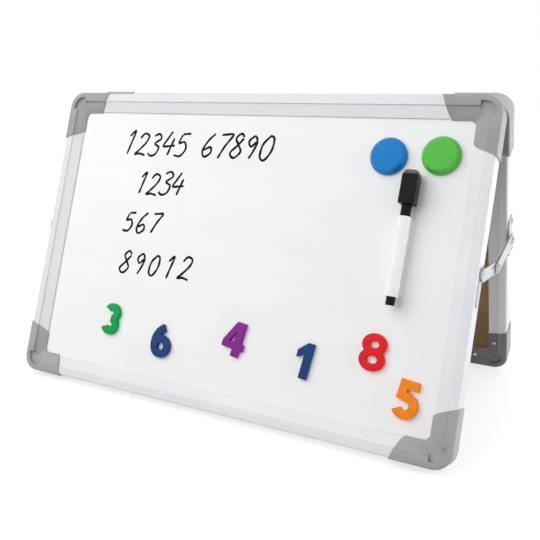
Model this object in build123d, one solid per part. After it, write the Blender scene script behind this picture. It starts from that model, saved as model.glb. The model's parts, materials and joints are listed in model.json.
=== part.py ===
from build123d import *
import math
import os

# ---------------------------------------------------------------------------
# Driving dimensions, in millimetres and degrees.
#
# Each board is modelled upright in its own frame before it is leaned back:
#   x  across the board, 0 at its middle
#   y  depth, 0 on the face that is written on, board_depth on the inner face
#   z  height, 0 at the bottom edge, board_height at the top edge
# ---------------------------------------------------------------------------
board_width = 457.0
board_height = 302.0
board_depth = 20.0
lean = 21.2

# extruded frame rail, sizes run inward from the outer edge of the board
rail_wall = 1.2
rail_corner = 2.0
bead_width = 8.5
bead_round = 0.8
bead_step = 1.4
skirt_root = 8.9
rail_reach = 19.0
lip_depth = 5.0
lip_round = 0.4
lip_width = 1.4
rail_setback = 22.5

# panel, three plates glued together
sheet_thickness = 0.5
core_thickness = 4.4
backing_thickness = 2.5
panel_setback = 9.2
panel_play = 0.1

# corner caps
cap_proud = 0.85
cap_reach = 21.5
cap_arm_outer = 49.8
cap_arm_inner = 40.5
cap_arm_bow = 0.5
cap_arm_round = 2.5
cap_corner = 15.0
cap_window_corner = 5.5
cap_edge_round = 1.6
cap_step_gap = 0.2
pocket_rim = 4.5
pocket_end = 18.3
pocket_corner = 10.5
pocket_floor = 1.8
cap_play = 0.1
tenon_length = 17.0
tenon_play = 0.15
tenon_nose = 0.5
foot_flat_depth = 1.0

# screws that hold the caps, pan heads on the inner skirt
cap_screw_along = 33.0
cap_screw_in = 12.4
pan_head = 4.6
pan_height = 1.6
cap_screw_shank = 2.5
cap_screw_length = 3.6
hole_play = 0.05

# hinges on the inner bead of the top rails
hinge_share = 0.569
leaf_length = 50.0
leaf_drop = 8.2
leaf_thickness = 1.2
leaf_gap = 0.3
knuckle_count = 5
knuckle_gap = 0.2
knuckle_radius = 2.5
pin_diameter = 2.4
pin_overhang = 0.4
axis_rise = 2.8
leaf_screw_pitch = 18.0
leaf_screw_drop = 4.1
leaf_screw_head = 5.0
leaf_screw_shank = 2.8
leaf_screw_length = 6.0
countersink_depth = 1.1

# folding stays on both sides of the easel
pivot_depth = 8.0
pivot_drop = 145.4
bracket_eye_depth = 24.0
bracket_eye_drop = 133.6
stay_slack = 1.085
lower_link_share = 0.44
lower_link_ratio = 2.67
upper_link_ratio = -3.68
link_width = 11.0
link_eye_width = 13.0
link_thickness = 1.6
link_gap = 0.3
front_plate_thickness = 0.8
front_plate_width = 9.0
front_plate_length = 31.0
plate_screw_pitches = (10.0, 21.0)
plate_screw_head = 4.4
plate_screw_shank = 2.8
side_screw_length = 6.5
bracket_thickness = 1.3
bracket_relief = 0.3
bracket_near = 2.5
bracket_far = 19.0
bracket_top_drop = 117.0
bracket_bottom_drop = 157.0
bracket_corner = 3.0
bracket_arm_width = 8.6
bracket_link_gap = 0.2
stay_pin = 4.0
slot_play = 0.3
stay_rivet_head = 9.0
stay_rivet_dome = 2.0
stay_rivet_sink = 0.8
stay_rivet_flare = 0.9
shoulder_diameter = 7.5
shoulder_gap = 0.15
bracket_screw_head = 6.0
bracket_screw_dome = 1.5
bracket_screw_shank = 3.2
bracket_screw_depth = 8.5
bracket_screw_drops = (122.5, 152.0)

# round magnetic holders
holder_diameter = 33.0
holder_height = 6.6
holder_wall = 1.5
holder_edge_round = 2.4
holder_top_diameter = 28.0
magnet_diameter = 24.0
magnet_thickness = 3.5
magnet_play = 0.05
magnet_sink = 0.2

# marker, hanging from the magnet on the back of its cap
marker_tilt = 1.1
marker_cap_length = 25.0
marker_cap_width = 14.0
marker_cap_corner = 2.6
marker_cap_bore = 9.0
marker_cap_bore_depth = 21.0
marker_magnet_width = 9.0
marker_magnet_length = 20.0
marker_magnet_thickness = 2.2
eraser_height = 4.0
eraser_taper = 1.8
eraser_margin = 0.6
eraser_socket = 9.0
eraser_socket_depth = 2.5
neck_length = 10.2
neck_diameter = 8.8
neck_fit = 0.05
neck_plug_length = 8.5
neck_groove = 0.5
neck_groove_pitch = 1.9
nib_diameter = 4.0
nib_length = 14.0
nib_reach = 4.5
nib_cone_length = 4.0
nib_cone_diameter = 6.4
barrel_diameter = 11.0
barrel_wall = 1.0
barrel_length = 67.6
barrel_end_round = 0.8
plug_depth = 8.0
tail_diameter = 8.0
tail_length = 7.2

# foam figures
figure_height = 32.0
figure_stroke = 7.4
figure_thickness = 3.5

# places of the loose pieces on the writing sheet, as shares of the room that a
# piece has between the rails: -1 and 1 touch the left and right, 0 and 1 the
# top and bottom; figures add their digit and clockwise tilt
loose_margin = 4.0
holder_shares = {"blue": (0.733, 0.0605), "green": (0.9725, 0.0493)}
marker_share = (0.8207, 0.3028)
figure_shares = {
    "green_figure": ("3", -0.672, 0.874, 5.0),
    "navy_left_figure": ("6", -0.333, 0.929, -15.0),
    "purple_figure": ("4", 0.098, 0.858, 9.0),
    "navy_right_figure": ("1", 0.479, 0.891, 7.2),
    "red_figure": ("8", 0.800, 0.811, 3.0),
    "orange_figure": ("5", 0.980, 0.959, 7.0),
}

# ---------------------------------------------------------------------------
# Sizes worked out from the driving dimensions
# ---------------------------------------------------------------------------
sin_lean = math.sin(math.radians(lean))
cos_lean = math.cos(math.radians(lean))
mid_depth = board_depth / 2
panel_thickness = sheet_thickness + core_thickness + backing_thickness
slot_front = mid_depth - panel_thickness / 2 - panel_play
sheet_front = slot_front + panel_play
skirt_slope = (lip_depth - bead_step) / (rail_reach - skirt_root)
skirt_angle = math.degrees(math.atan(skirt_slope))

# the hinge axis lies midway between the two boards when they are folded flat
axis_depth = board_depth + leaf_thickness + leaf_gap / 2
axis_height = board_height + axis_rise

hinge_spread = hinge_share * board_width / 2

# lowest point of a leaning board is the outer bottom edge of its inner face
low_corner = -(board_depth + cap_proud) * sin_lean - cap_proud * cos_lean
foot_level = low_corner + foot_flat_depth
board_shift = -(axis_depth * cos_lean + axis_height * sin_lean)

front_place = Location((0, board_shift, -foot_level)) * Location((0, 0, 0), (-lean, 0, 0))
rear_place = Location((0, 0, 0), (0, 0, 180)) * front_place

os.makedirs("parts", exist_ok=True)


def skirt(inward):
    """Depth of the rail's sloped skirt at a distance inward from the outer edge."""
    return bead_step + skirt_slope * (inward - skirt_root)


def save(name, shape, place=Location()):
    """Write one node's solids where they stand on the finished easel."""
    export_step(place * shape, f"parts/{name}.step")


def slab(sketch, near, far):
    """Extrude an upright x-z sketch from one depth to another."""
    return extrude(Pos(0, far, 0) * (Plane.XZ * sketch), amount=far - near)


def bar(section, start, end):
    """Extrude a y-z section along x."""
    return extrude(Pos(start, 0, 0) * (Plane.YZ * section), amount=end - start)


def polygon(points):
    return make_face(Polyline(*points, close=True))


def both_faces(shape):
    """The shape and its twin on the other face of the board."""
    return shape + mirror(shape, about=Plane.XZ.offset(-mid_depth))


def vertices_at(sketch, points):
    """Vertices of a sketch at the given places, for rounding."""
    found = []
    for vertex in sketch.vertices():
        for spot in points:
            if math.hypot(vertex.X - spot[0], vertex.Y - spot[1]) < 0.01:
                found.append(vertex)
    return found


# ---------------------------------------------------------------------------
# Frame rails
# ---------------------------------------------------------------------------
def rail_silhouette():
    """Outer shape of the rail with its panel channel closed: depth, inward."""
    half = [(0, 0), (0, bead_width), (bead_step, skirt_root), (lip_depth, rail_reach)]
    twin = [(board_depth - depth, inward) for depth, inward in reversed(half)]
    sketch = polygon(half + twin)
    sketch = fillet(vertices_at(sketch, [half[0], twin[-1]]), rail_corner)
    sketch = fillet(vertices_at(sketch, [half[1], twin[-2]]), bead_round)
    return fillet(vertices_at(sketch, [half[3], twin[0]]), lip_round)


def chamber():
    """Hollow of the rail between its outer wall and the panel channel."""
    high = bead_width - rail_wall
    sketch = Pos(mid_depth, (rail_wall + high) / 2) * Rectangle(
        board_depth - 2 * rail_wall, high - rail_wall)
    return fillet(sketch.vertices(), rail_corner - rail_wall)


def channel():
    """Groove that holds the panel, wide behind the two lips."""
    skin = rail_wall * math.hypot(1, skirt_slope)
    lip_start = rail_reach - lip_width
    half = [
        (slot_front, rail_reach + 1),
        (slot_front, lip_start),
        (skirt(lip_start) + skin, lip_start),
        (skirt(bead_width) + skin, bead_width),
    ]
    twin = [(board_depth - depth, inward) for depth, inward in reversed(half)]
    return polygon(half + twin)


def rail(length):
    """One rail lying along x with its outer edge down."""
    section = rail_silhouette() - chamber() - channel()
    return bar(section, -length / 2, length / 2)


def frame_rails():
    """The four rails of a board, drilled for the caps, hinges and stays."""
    upright = Pos(-board_width / 2, 0, board_height / 2) * Rot(0, 90, 0)
    bottom = rail(board_width - 2 * rail_setback)
    left = upright * rail(board_height - 2 * rail_setback)
    drills = both_corner_drills()
    bottom = bottom - drills
    left = left - drills
    return {
        "bottom": bottom,
        "top": mirror(bottom, about=Plane.XY.offset(board_height / 2)),
        "left": left,
        "right": mirror(left, about=Plane.YZ),
    }


# ---------------------------------------------------------------------------
# Corner caps and their screws
# ---------------------------------------------------------------------------
diagonal = Plane((0, 0, 0), x_dir=(0, 1, 0), z_dir=(1, 0, -1))


def both_arms(shape):
    """The shape on the arm along x and its twin on the arm along z."""
    return shape, mirror(shape, about=diagonal)


def cap_plan():
    """L-shaped outline of a cap, seen square to the board."""
    edge = -cap_proud
    across = (cap_arm_outer, edge), (cap_arm_inner, cap_reach)
    up = (cap_reach, cap_arm_inner), (edge, cap_arm_outer)
    outline = [
        Line((edge, edge), across[0]),
        SagittaArc(across[0], across[1], -cap_arm_bow),
        Line(across[1], (cap_reach, cap_reach)),
        Line((cap_reach, cap_reach), up[0]),
        SagittaArc(up[0], up[1], -cap_arm_bow),
        Line(up[1], (edge, edge)),
    ]
    plan = make_face(outline)
    plan = fillet(vertices_at(plan, [(edge, edge)]), cap_corner + cap_proud)
    plan = fillet(vertices_at(plan, [across[1], up[0]]), cap_arm_round)
    return fillet(vertices_at(plan, [(cap_reach, cap_reach)]), cap_window_corner)


def above_skirt():
    """Space in front of the skirt that slopes in from the bead of the arm on x."""
    bead = bead_width + cap_step_gap
    root = bead + skirt_root - bead_width
    high = cap_arm_outer + 1
    front = -cap_proud
    sketch = polygon([
        (front - 1, bead),
        (skirt(root) - cap_proud, root),
        (skirt(high) - cap_proud, high),
        (front - 1, high),
    ])
    return bar(sketch, -1, cap_arm_outer + 1)


def corner_pocket():
    """Pocket inside the rim at the corner, where the two beads stop short."""
    middle = (pocket_rim + pocket_end) / 2
    side = pocket_end - pocket_rim
    sketch = Pos(middle, middle) * Rectangle(side, side)
    sketch = fillet(vertices_at(sketch, [(pocket_rim, pocket_rim)]), pocket_corner)
    return slab(sketch, -cap_proud - 1, pocket_floor)


def panel_corner():
    """Room for the corner of the panel."""
    start = panel_setback - panel_play
    side = cap_arm_outer
    block = Pos(start + side / 2, start + side / 2) * Rectangle(side, side)
    return slab(block, slot_front, board_depth - slot_front)


def corner_cap():
    """Moulded cap for the corner at the origin."""
    blank = slab(cap_plan(), -cap_proud, board_depth + cap_proud)
    rim = [edge for edge in blank.edges() if on_outer_rim(edge)]
    blank = fillet(rim, cap_edge_round)
    along, up = both_arms(above_skirt())
    hollow = bar(offset(rail_silhouette(), cap_play), rail_setback - cap_play, cap_arm_outer + 1)
    blank = blank - both_faces(along & up) - both_faces(corner_pocket())
    for arm in both_arms(hollow):
        blank = blank - arm
    blank = blank - panel_corner()
    for arm in both_arms(tenon()):
        blank = blank + arm
    return blank - cap_screw_holes()


def on_outer_rim(edge):
    """True for the edges that run round the outside of a cap blank."""
    middle = edge.position_at(0.5)
    on_face = min(abs(middle.Y + cap_proud), abs(middle.Y - board_depth - cap_proud)) < 0.01
    flat_side = min(abs(middle.X + cap_proud), abs(middle.Z + cap_proud)) < 0.01
    in_corner = middle.X < cap_corner - 1 and middle.Z < cap_corner - 1
    return on_face and (flat_side or in_corner)


def tenon():
    """Plug that enters the hollow of the rail along x."""
    section = offset(chamber(), -tenon_play)
    root = pocket_end + 1
    plug = bar(section, root, rail_setback + tenon_length)
    tip = plug.faces().sort_by(Axis.X)[-1]
    return chamfer(tip.edges(), tenon_nose)


def skirt_plane():
    """Seat of a cap screw on the inner skirt of the arm along x, facing out."""
    depth = board_depth - skirt(cap_screw_in) + cap_proud
    outward = (0, math.cos(math.radians(skirt_angle)), math.sin(math.radians(skirt_angle)))
    return Plane((cap_screw_along, depth, cap_screw_in), x_dir=(1, 0, 0), z_dir=outward)


def dome(diameter, height):
    """Low domed head standing on its seat."""
    ball = (diameter * diameter / 4 + height * height) / (2 * height)
    return Pos(0, 0, height - ball) * Sphere(ball) & Pos(0, 0, height / 2) * Cylinder(
        diameter / 2, height)


def pan_screw():
    """Pan-head screw on its seat, shank pointing down."""
    head = Pos(0, 0, pan_height / 2) * Cylinder(pan_head / 2, pan_height)
    head = fillet(head.edges().group_by(Axis.Z)[-1], pan_height * 0.6)
    return head + Pos(0, 0, -cap_screw_length / 2) * Cylinder(
        cap_screw_shank / 2, cap_screw_length)


def cap_screws():
    """The two screws of the cap at the origin."""
    return both_arms(skirt_plane().location * pan_screw())


def cap_screw_holes():
    """Clearance for both screws through the skirt of the cap and of the rail."""
    drill = Cylinder(cap_screw_shank / 2 + hole_play, 2 * cap_screw_length)
    along, up = both_arms(skirt_plane().location * drill)
    return along + up


def to_corner(shape, side, level):
    """Carry a shape from the corner at the origin to one corner of a board."""
    shape = Pos(-board_width / 2, 0, 0) * shape
    if side == "right":
        shape = mirror(shape, about=Plane.YZ)
    if level == "top":
        shape = mirror(shape, about=Plane.XY.offset(board_height / 2))
    return shape


def both_corner_drills():
    """Screw holes at the two corners that the bottom and the left rail end in."""
    holes = cap_screw_holes()
    return (to_corner(holes, "left", "bottom") + to_corner(holes, "right", "bottom")
            + to_corner(holes, "left", "top"))


def below_floor():
    """Everything under the level that a leaning board stands on."""
    side = board_width * 2
    block = Box(side, side, side, align=(Align.CENTER, Align.CENTER, Align.MAX))
    return Rot(lean, 0, 0) * Pos(0, 0, foot_level) * block


# ---------------------------------------------------------------------------
# Panel
# ---------------------------------------------------------------------------
def panel_plates():
    """Writing sheet, foam core and backing board, from the face inward."""
    wide = board_width - 2 * panel_setback
    high = board_height - 2 * panel_setback
    outline = Pos(0, board_height / 2) * Rectangle(wide, high)
    core_front = sheet_front + sheet_thickness
    backing_front = core_front + core_thickness
    return {
        "writing_sheet": slab(outline, sheet_front, core_front),
        "foam_core": slab(outline, core_front, backing_front),
        "backing_board": slab(outline, backing_front, backing_front + backing_thickness),
    }


# ---------------------------------------------------------------------------
# Hinges
# ---------------------------------------------------------------------------
def leaf_screw_places(middle):
    """Where the three screws of a leaf enter, facing out of the inner face."""
    height = board_height - leaf_screw_drop
    depth = board_depth + leaf_thickness
    steps = (-leaf_screw_pitch, 0, leaf_screw_pitch)
    return [Plane((middle + step, depth, height), z_dir=(0, 1, 0)).location for step in steps]


def countersunk(head, shank, length, sink, play=0.0):
    """Flush screw with its head's face at zero, shank pointing down."""
    wide, thin = head / 2 + play, shank / 2 + play
    cone = Pos(0, 0, -sink / 2) * Cone(thin, wide, sink)
    return cone + Pos(0, 0, -length / 2) * Cylinder(thin, length)


def leaf(middle, fingers):
    """Hinge leaf on the inner bead with knuckles at the given finger numbers."""
    bottom = board_height - leaf_drop
    plate = Pos(middle, board_depth + leaf_thickness / 2, (bottom + board_height) / 2) * Box(
        leaf_length, leaf_thickness, leaf_drop)
    pitch = (leaf_length + knuckle_gap) / knuckle_count
    width = pitch - knuckle_gap
    for finger in fingers:
        x = middle - leaf_length / 2 + pitch * finger + width / 2
        tongue = Pos(x, board_depth + leaf_thickness / 2, board_height + axis_rise / 2) * Box(
            width, leaf_thickness, axis_rise)
        barrel = Pos(x, axis_depth, axis_height) * Rot(0, 90, 0) * Cylinder(knuckle_radius, width)
        plate = plate + tongue + barrel
    bore = Pos(middle, axis_depth, axis_height) * Rot(0, 90, 0) * Cylinder(
        pin_diameter / 2 + hole_play, leaf_length + 2)
    plate = plate - bore
    for place in leaf_screw_places(middle):
        plate = plate - place * countersunk(
            leaf_screw_head, leaf_screw_shank, leaf_screw_length, countersink_depth, hole_play)
    return plate


def hinge_pin(middle):
    length = leaf_length + 2 * pin_overhang
    pin = Cylinder(pin_diameter / 2, length)
    pin = chamfer(pin.edges().filter_by(GeomType.CIRCLE), pin_overhang / 2)
    return Pos(middle, axis_depth, axis_height) * Rot(0, 90, 0) * pin


def leaf_screws():
    """Screws of both leaves of one board, as separate solids."""
    screw = countersunk(leaf_screw_head, leaf_screw_shank, leaf_screw_length, countersink_depth)
    places = leaf_screw_places(-hinge_spread) + leaf_screw_places(hinge_spread)
    return [place * screw for place in places]


def leaf_screw_holes():
    drill = Cylinder(leaf_screw_shank / 2 + hole_play, 2 * leaf_screw_length)
    places = leaf_screw_places(-hinge_spread) + leaf_screw_places(hinge_spread)
    return Compound([place * drill for place in places])


# ---------------------------------------------------------------------------
# Folding stays. Each is drawn for the right-hand side in a y-z plane, with x
# counted outward from the side face of the rails.
# ---------------------------------------------------------------------------
def on_front(depth, drop):
    """Standing place (y, z) of a point on the front board's side."""
    height = board_height - drop
    return (board_shift + depth * cos_lean + height * sin_lean,
            -foot_level - depth * sin_lean + height * cos_lean)


def on_rear(depth, drop):
    y, z = on_front(depth, drop)
    return -y, z


def turned(point, centre, degrees):
    angle = math.radians(degrees)
    dy, dz = point[0] - centre[0], point[1] - centre[1]
    return (centre[0] + dy * math.cos(angle) - dz * math.sin(angle),
            centre[1] + dy * math.sin(angle) + dz * math.cos(angle))


def elbow_point(pivot, eye):
    """Where the two links meet below the straight line between their ends."""
    dy, dz = eye[0] - pivot[0], eye[1] - pivot[1]
    span = math.hypot(dy, dz)
    lower = lower_link_share * (span + stay_slack)
    upper = span + stay_slack - lower
    reach = (lower ** 2 - upper ** 2 + span ** 2) / (2 * span)
    drop = math.sqrt(lower ** 2 - reach ** 2)
    return (pivot[0] + reach * dy / span + drop * dz / span,
            pivot[1] + reach * dz / span - drop * dy / span)


pivot_point = on_front(pivot_depth, pivot_drop)
eye_point = on_rear(bracket_eye_depth, bracket_eye_drop)
elbow = elbow_point(pivot_point, eye_point)
fold_axis = on_front(axis_depth, board_height - axis_height)


def slot_run():
    """Ends of the stay pin's path over the rear bracket as the easel folds."""
    path = []
    steps = 40
    for step in range(steps + 1):
        fold = -2 * lean * step / steps
        bend = turned(elbow, pivot_point, lower_link_ratio * fold)
        pin = turned(eye_point, pivot_point, lower_link_ratio * fold)
        pin = turned(pin, bend, upper_link_ratio * fold)
        path.append(turned(pin, fold_axis, -fold))
    far = max(path, key=lambda spot: math.dist(spot, path[0]))
    angle = math.atan2(far[1] - path[0][1], far[0] - path[0][0])
    along = [spot[0] * math.cos(angle) + spot[1] * math.sin(angle) for spot in path]
    across = [spot[1] * math.cos(angle) - spot[0] * math.sin(angle) for spot in path]
    middle = (max(across) + min(across)) / 2
    ends = []
    for reach in (min(along), max(along)):
        ends.append((reach * math.cos(angle) - middle * math.sin(angle),
                     reach * math.sin(angle) + middle * math.cos(angle)))
    return ends


def layer(sketch, near, far):
    """Extrude a y-z sketch outward from the right side face of the rails."""
    side = board_width / 2
    return bar(sketch, side + near, side + far)


def rod(centre, diameter, near, far):
    return layer(Pos(*centre) * Circle(diameter / 2), near, far)


def flare(centre, near_diameter, far_diameter, near, far):
    """Conical length of a rivet or screw standing outward."""
    cone = Cone(near_diameter / 2, far_diameter / 2, far - near)
    place = Pos(board_width / 2 + (near + far) / 2, *centre) * Rot(0, 90, 0)
    return place * cone


def side_dome(centre, diameter, height, near):
    return Pos(board_width / 2 + near, *centre) * Rot(0, 90, 0) * dome(diameter, height)


def link_sketch(start, start_width, end, end_width):
    """Strap between two eyes, tapering if the eyes differ."""
    first = Pos(*start) * Circle(start_width / 2)
    second = Pos(*end) * Circle(end_width / 2)
    return make_hull((first + second).edges())


link_near = bracket_thickness + bracket_link_gap
link_far = link_near + link_thickness
upper_near = link_far + link_gap
upper_far = upper_near + link_thickness


def lower_link():
    """Strap from the front pivot to the elbow, countersunk for both rivets."""
    strap = layer(link_sketch(pivot_point, link_width, elbow, link_width), link_near, link_far)
    bore = stay_pin + 2 * hole_play
    wide = bore + 2 * stay_rivet_flare
    strap = strap - rod(pivot_point, bore, 0, link_far + 1) - rod(elbow, bore, 0, link_far + 1)
    strap = strap - flare(pivot_point, bore, wide, link_far - stay_rivet_sink, link_far)
    return strap - flare(elbow, wide, bore, link_near, link_near + stay_rivet_sink)


def upper_link():
    """Strap from the elbow to the eye that slides on the rear bracket."""
    strap = layer(link_sketch(elbow, link_width, eye_point, link_eye_width), upper_near, upper_far)
    return strap - rod(elbow, stay_pin, 0, upper_far + 1) - rod(eye_point, stay_pin, 0, upper_far + 1)


def elbow_rivet():
    wide = stay_pin + 2 * stay_rivet_flare
    shank = rod(elbow, stay_pin, link_near, upper_far)
    tail = flare(elbow, wide, stay_pin, link_near, link_near + stay_rivet_sink)
    return shank + tail + side_dome(elbow, stay_rivet_head, stay_rivet_dome, upper_far)


def slide_pin():
    """Shouldered pin of the upper link, its stub running in the bracket slot."""
    stub = rod(eye_point, stay_pin, bracket_relief + hole_play, upper_far)
    collar = rod(eye_point, shoulder_diameter, bracket_thickness + shoulder_gap, upper_near)
    return stub + collar + side_dome(eye_point, stay_rivet_head, stay_rivet_dome, upper_far)


def front_pivot_rivet():
    """Collared rivet, flush in the lower link, through the front plate and the rail's wall."""
    wide = stay_pin + 2 * stay_rivet_flare
    shank = rod(pivot_point, stay_pin, -rail_wall - 1, link_far)
    collar = rod(pivot_point, shoulder_diameter, front_plate_thickness, link_near - hole_play)
    return shank + collar + flare(pivot_point, stay_pin, wide, link_far - stay_rivet_sink, link_far)


def front_plate():
    """Round-ended plate under the front pivot, built on the front board."""
    pivot = (pivot_depth, board_height - pivot_drop)
    foot = (pivot_depth, pivot[1] - front_plate_length + front_plate_width)
    plate = layer(link_sketch(pivot, front_plate_width, foot, front_plate_width),
                  0, front_plate_thickness)
    plate = plate - rod(pivot, stay_pin + 2 * hole_play, -1, 2)
    for screw in front_plate_screws(hole_play):
        plate = plate - screw
    return plate


def plate_screw_spots():
    """Depth and height of the front plate's screws below its pivot."""
    pivot = board_height - pivot_drop
    return [(pivot_depth, pivot - pitch) for pitch in plate_screw_pitches]


def front_plate_screws(play=0.0):
    """Two flush screws of the front plate, built on the front board."""
    screw = countersunk(
        plate_screw_head, plate_screw_shank, side_screw_length, front_plate_thickness, play)
    face = board_width / 2 + front_plate_thickness
    return [Pos(face, *spot) * Rot(0, 90, 0) * screw for spot in plate_screw_spots()]


def unleaned(point):
    """Depth and height on the rear board of a standing place (y, z)."""
    y, z = -point[0] - board_shift, point[1] + foot_level
    return y * cos_lean - z * sin_lean, y * sin_lean + z * cos_lean


def rear_bracket():
    """Plate with a slotted arm for the sliding pin, built on a board's right side."""
    high = board_height - bracket_top_drop
    low = board_height - bracket_bottom_drop
    base = Pos((bracket_near + bracket_far) / 2, (high + low) / 2) * Rectangle(
        bracket_far - bracket_near, high - low)
    base = fillet(base.vertices(), bracket_corner)
    start, end = sorted(unleaned(point) for point in slot_run())
    root = (bracket_far - bracket_arm_width / 2, start[1])
    arm = link_sketch(root, link_eye_width, end, bracket_arm_width)
    slot = link_sketch(start, stay_pin + 2 * slot_play, end, stay_pin + 2 * slot_play)
    plate = layer(base, 0, bracket_thickness) + layer(arm, bracket_relief, bracket_thickness)
    plate = plate - layer(slot, -1, bracket_thickness + 1)
    for spot in bracket_screw_spots():
        plate = plate - rod(spot, bracket_screw_shank + 2 * hole_play, -1, bracket_thickness + 1)
    return plate


def bracket_screw_spots():
    """Depth and height of the two bracket screws."""
    return [(bracket_screw_depth, board_height - drop) for drop in bracket_screw_drops]


def bracket_screws():
    """Two domed screws of a rear bracket."""
    screws = []
    for spot in bracket_screw_spots():
        shank = rod(spot, bracket_screw_shank, bracket_thickness - side_screw_length, bracket_thickness)
        head = side_dome(spot, bracket_screw_head, bracket_screw_dome, bracket_thickness)
        screws.append(shank + head)
    return screws


def front_side_holes():
    """Holes in the right rail of the front board for the stay's pivot plate."""
    holes = rod((pivot_depth, board_height - pivot_drop), stay_pin + 2 * hole_play, -5, 1)
    for spot in plate_screw_spots():
        holes = holes + rod(spot, plate_screw_shank + 2 * hole_play, -5, 1)
    return holes


def rear_side_holes():
    """Holes in the right rail of the rear board for the bracket's screws."""
    first, second = bracket_screw_spots()
    wide = bracket_screw_shank + 2 * hole_play
    return rod(first, wide, -5, 1) + rod(second, wide, -5, 1)


def pair(shapes):
    """Solids of the right-hand stay and their twins on the left."""
    twins = [mirror(shape, about=Plane.YZ) for shape in shapes]
    return Compound(list(shapes) + twins)


# ---------------------------------------------------------------------------
# Round holders
# ---------------------------------------------------------------------------
def on_sheet(right, drop):
    """Seat on the front writing sheet, z pointing out of it and y up."""
    return Plane((right, sheet_front, board_height - drop), x_dir=(1, 0, 0), z_dir=(0, -1, 0))


def loose_place(across, down, half_width, half_height):
    """Distance right of the middle and below the top edge for shares of a piece's room."""
    side = board_width / 2 - rail_reach - loose_margin - half_width
    top = rail_reach + loose_margin + half_height
    return across * side, top + down * (board_height - 2 * top)


def holder_shell():
    """Hollow moulded button with a socket for its magnet."""
    radius = holder_diameter / 2
    flat = holder_top_diameter / 2
    outer = polygon([(0, 0), (radius, 0), (radius, holder_height * 0.45), (flat, holder_height),
                     (0, holder_height)])
    outer = fillet(vertices_at(outer, [(radius, holder_height * 0.45)]), holder_edge_round)
    outer = fillet(vertices_at(outer, [(flat, holder_height)]), holder_edge_round)
    ring = magnet_diameter / 2 + magnet_play + holder_wall
    gap = radius - holder_wall - ring
    relief = Pos(ring + gap / 2, holder_height * 0.2) * Rectangle(gap, holder_height * 0.4)
    socket_depth = magnet_thickness + magnet_sink
    socket_radius = magnet_diameter / 2 + magnet_play
    socket = Pos(socket_radius / 2, socket_depth / 2) * Rectangle(socket_radius, socket_depth)
    return revolve(Plane.XZ * (outer - relief - socket), Axis.Z)


def holder_magnet():
    disc = Cylinder(magnet_diameter / 2, magnet_thickness)
    disc = chamfer(disc.edges().filter_by(GeomType.CIRCLE), magnet_sink)
    return Pos(0, 0, magnet_sink + magnet_thickness / 2) * disc


# ---------------------------------------------------------------------------
# Marker. Its axis is vertical, zero at the mouth of the cap, body hanging down.
# ---------------------------------------------------------------------------
marker_axis_out = marker_cap_width / 2 + marker_magnet_thickness
marker_top = marker_cap_length + eraser_height
marker_length = marker_top + neck_length + barrel_length + tail_length
marker_right, marker_drop = loose_place(*marker_share, marker_cap_width / 2, marker_length / 2)
marker_middle = Pos(marker_right, sheet_front - marker_axis_out, board_height - marker_drop)
marker_place = marker_middle * Rot(0, marker_tilt, 0) * Pos(0, 0, marker_length / 2 - marker_top)


def rounded_post(width, corner, bottom, height, taper=0.0):
    section = RectangleRounded(width, width, corner)
    return extrude(Pos(0, 0, bottom) * section, amount=height, taper=taper)


def marker_cap():
    """Square cap with a round bore below and a socket for the eraser on top."""
    block = rounded_post(marker_cap_width, marker_cap_corner, 0, marker_cap_length)
    bore = Pos(0, 0, marker_cap_bore_depth / 2) * Cylinder(marker_cap_bore / 2, marker_cap_bore_depth)
    socket = rounded_post(
        eraser_socket, 1.0, marker_cap_length - eraser_socket_depth, eraser_socket_depth)
    return block - bore - socket


def marker_eraser():
    """Felt block on the cap, drawn in towards its top, with a plug below."""
    width = marker_cap_width - 2 * eraser_margin
    angle = math.degrees(math.atan(eraser_taper / eraser_height))
    pad = rounded_post(width, marker_cap_corner, marker_cap_length, eraser_height, angle)
    plug = rounded_post(eraser_socket - 2 * hole_play, 1.0 - hole_play,
                        marker_cap_length - eraser_socket_depth, eraser_socket_depth)
    return pad + plug


def marker_magnet():
    """Flat bar on the back of the cap, between it and the sheet."""
    bar_magnet = Box(marker_magnet_width, marker_magnet_thickness, marker_magnet_length)
    depth = marker_cap_width / 2 + marker_magnet_thickness / 2
    return Pos(0, depth, marker_cap_length / 2) * bar_magnet


def stack(steps):
    """Turned piece from a list of (radius, bottom, top) lengths."""
    piece = None
    for radius, bottom, top in steps:
        length = Pos(0, 0, (bottom + top) / 2) * Cylinder(radius, top - bottom)
        piece = length if piece is None else piece + length
    return piece


barrel_bore = barrel_diameter / 2 - barrel_wall


def ribs(radius, bottom, top):
    """Grooves round a grip between two levels."""
    count = int((top - bottom) / neck_groove_pitch)
    grooves = None
    for number in range(count):
        level = bottom + neck_groove_pitch * (number + 0.5)
        outside = Pos(0, 0, level) * Cylinder(radius + 1, neck_groove)
        ring = outside - Pos(0, 0, level) * Cylinder(radius - neck_groove, neck_groove)
        grooves = ring if grooves is None else grooves + ring
    return grooves


def marker_neck():
    """Ribbed grip with a plug for the cap, a nose for the nib and a barrel spigot."""
    grip = neck_diameter / 2
    plug = marker_cap_bore / 2 - neck_fit
    neck = stack([
        (barrel_bore - hole_play, -neck_length - plug_depth, -neck_length),
        (grip, -neck_length, 0),
        (plug, 0, neck_plug_length),
    ])
    nose = Pos(0, 0, neck_plug_length + nib_cone_length / 2) * Cone(
        plug - neck_groove, nib_cone_diameter / 2, nib_cone_length)
    neck = neck + nose - ribs(grip, -neck_length, -neck_groove)
    hole = nib_hole_bottom()
    top = neck_plug_length + nib_cone_length
    return neck - stack([(nib_diameter / 2 + hole_play, hole, top + 1)])


def nib_hole_bottom():
    return neck_plug_length + nib_cone_length + nib_reach - nib_length


def marker_nib():
    """Felt bullet held in the nose."""
    top = neck_plug_length + nib_cone_length + nib_reach
    nib = stack([(nib_diameter / 2, nib_hole_bottom(), top)])
    return fillet(nib.edges().group_by(Axis.Z)[-1], nib_diameter * 0.4)


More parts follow.
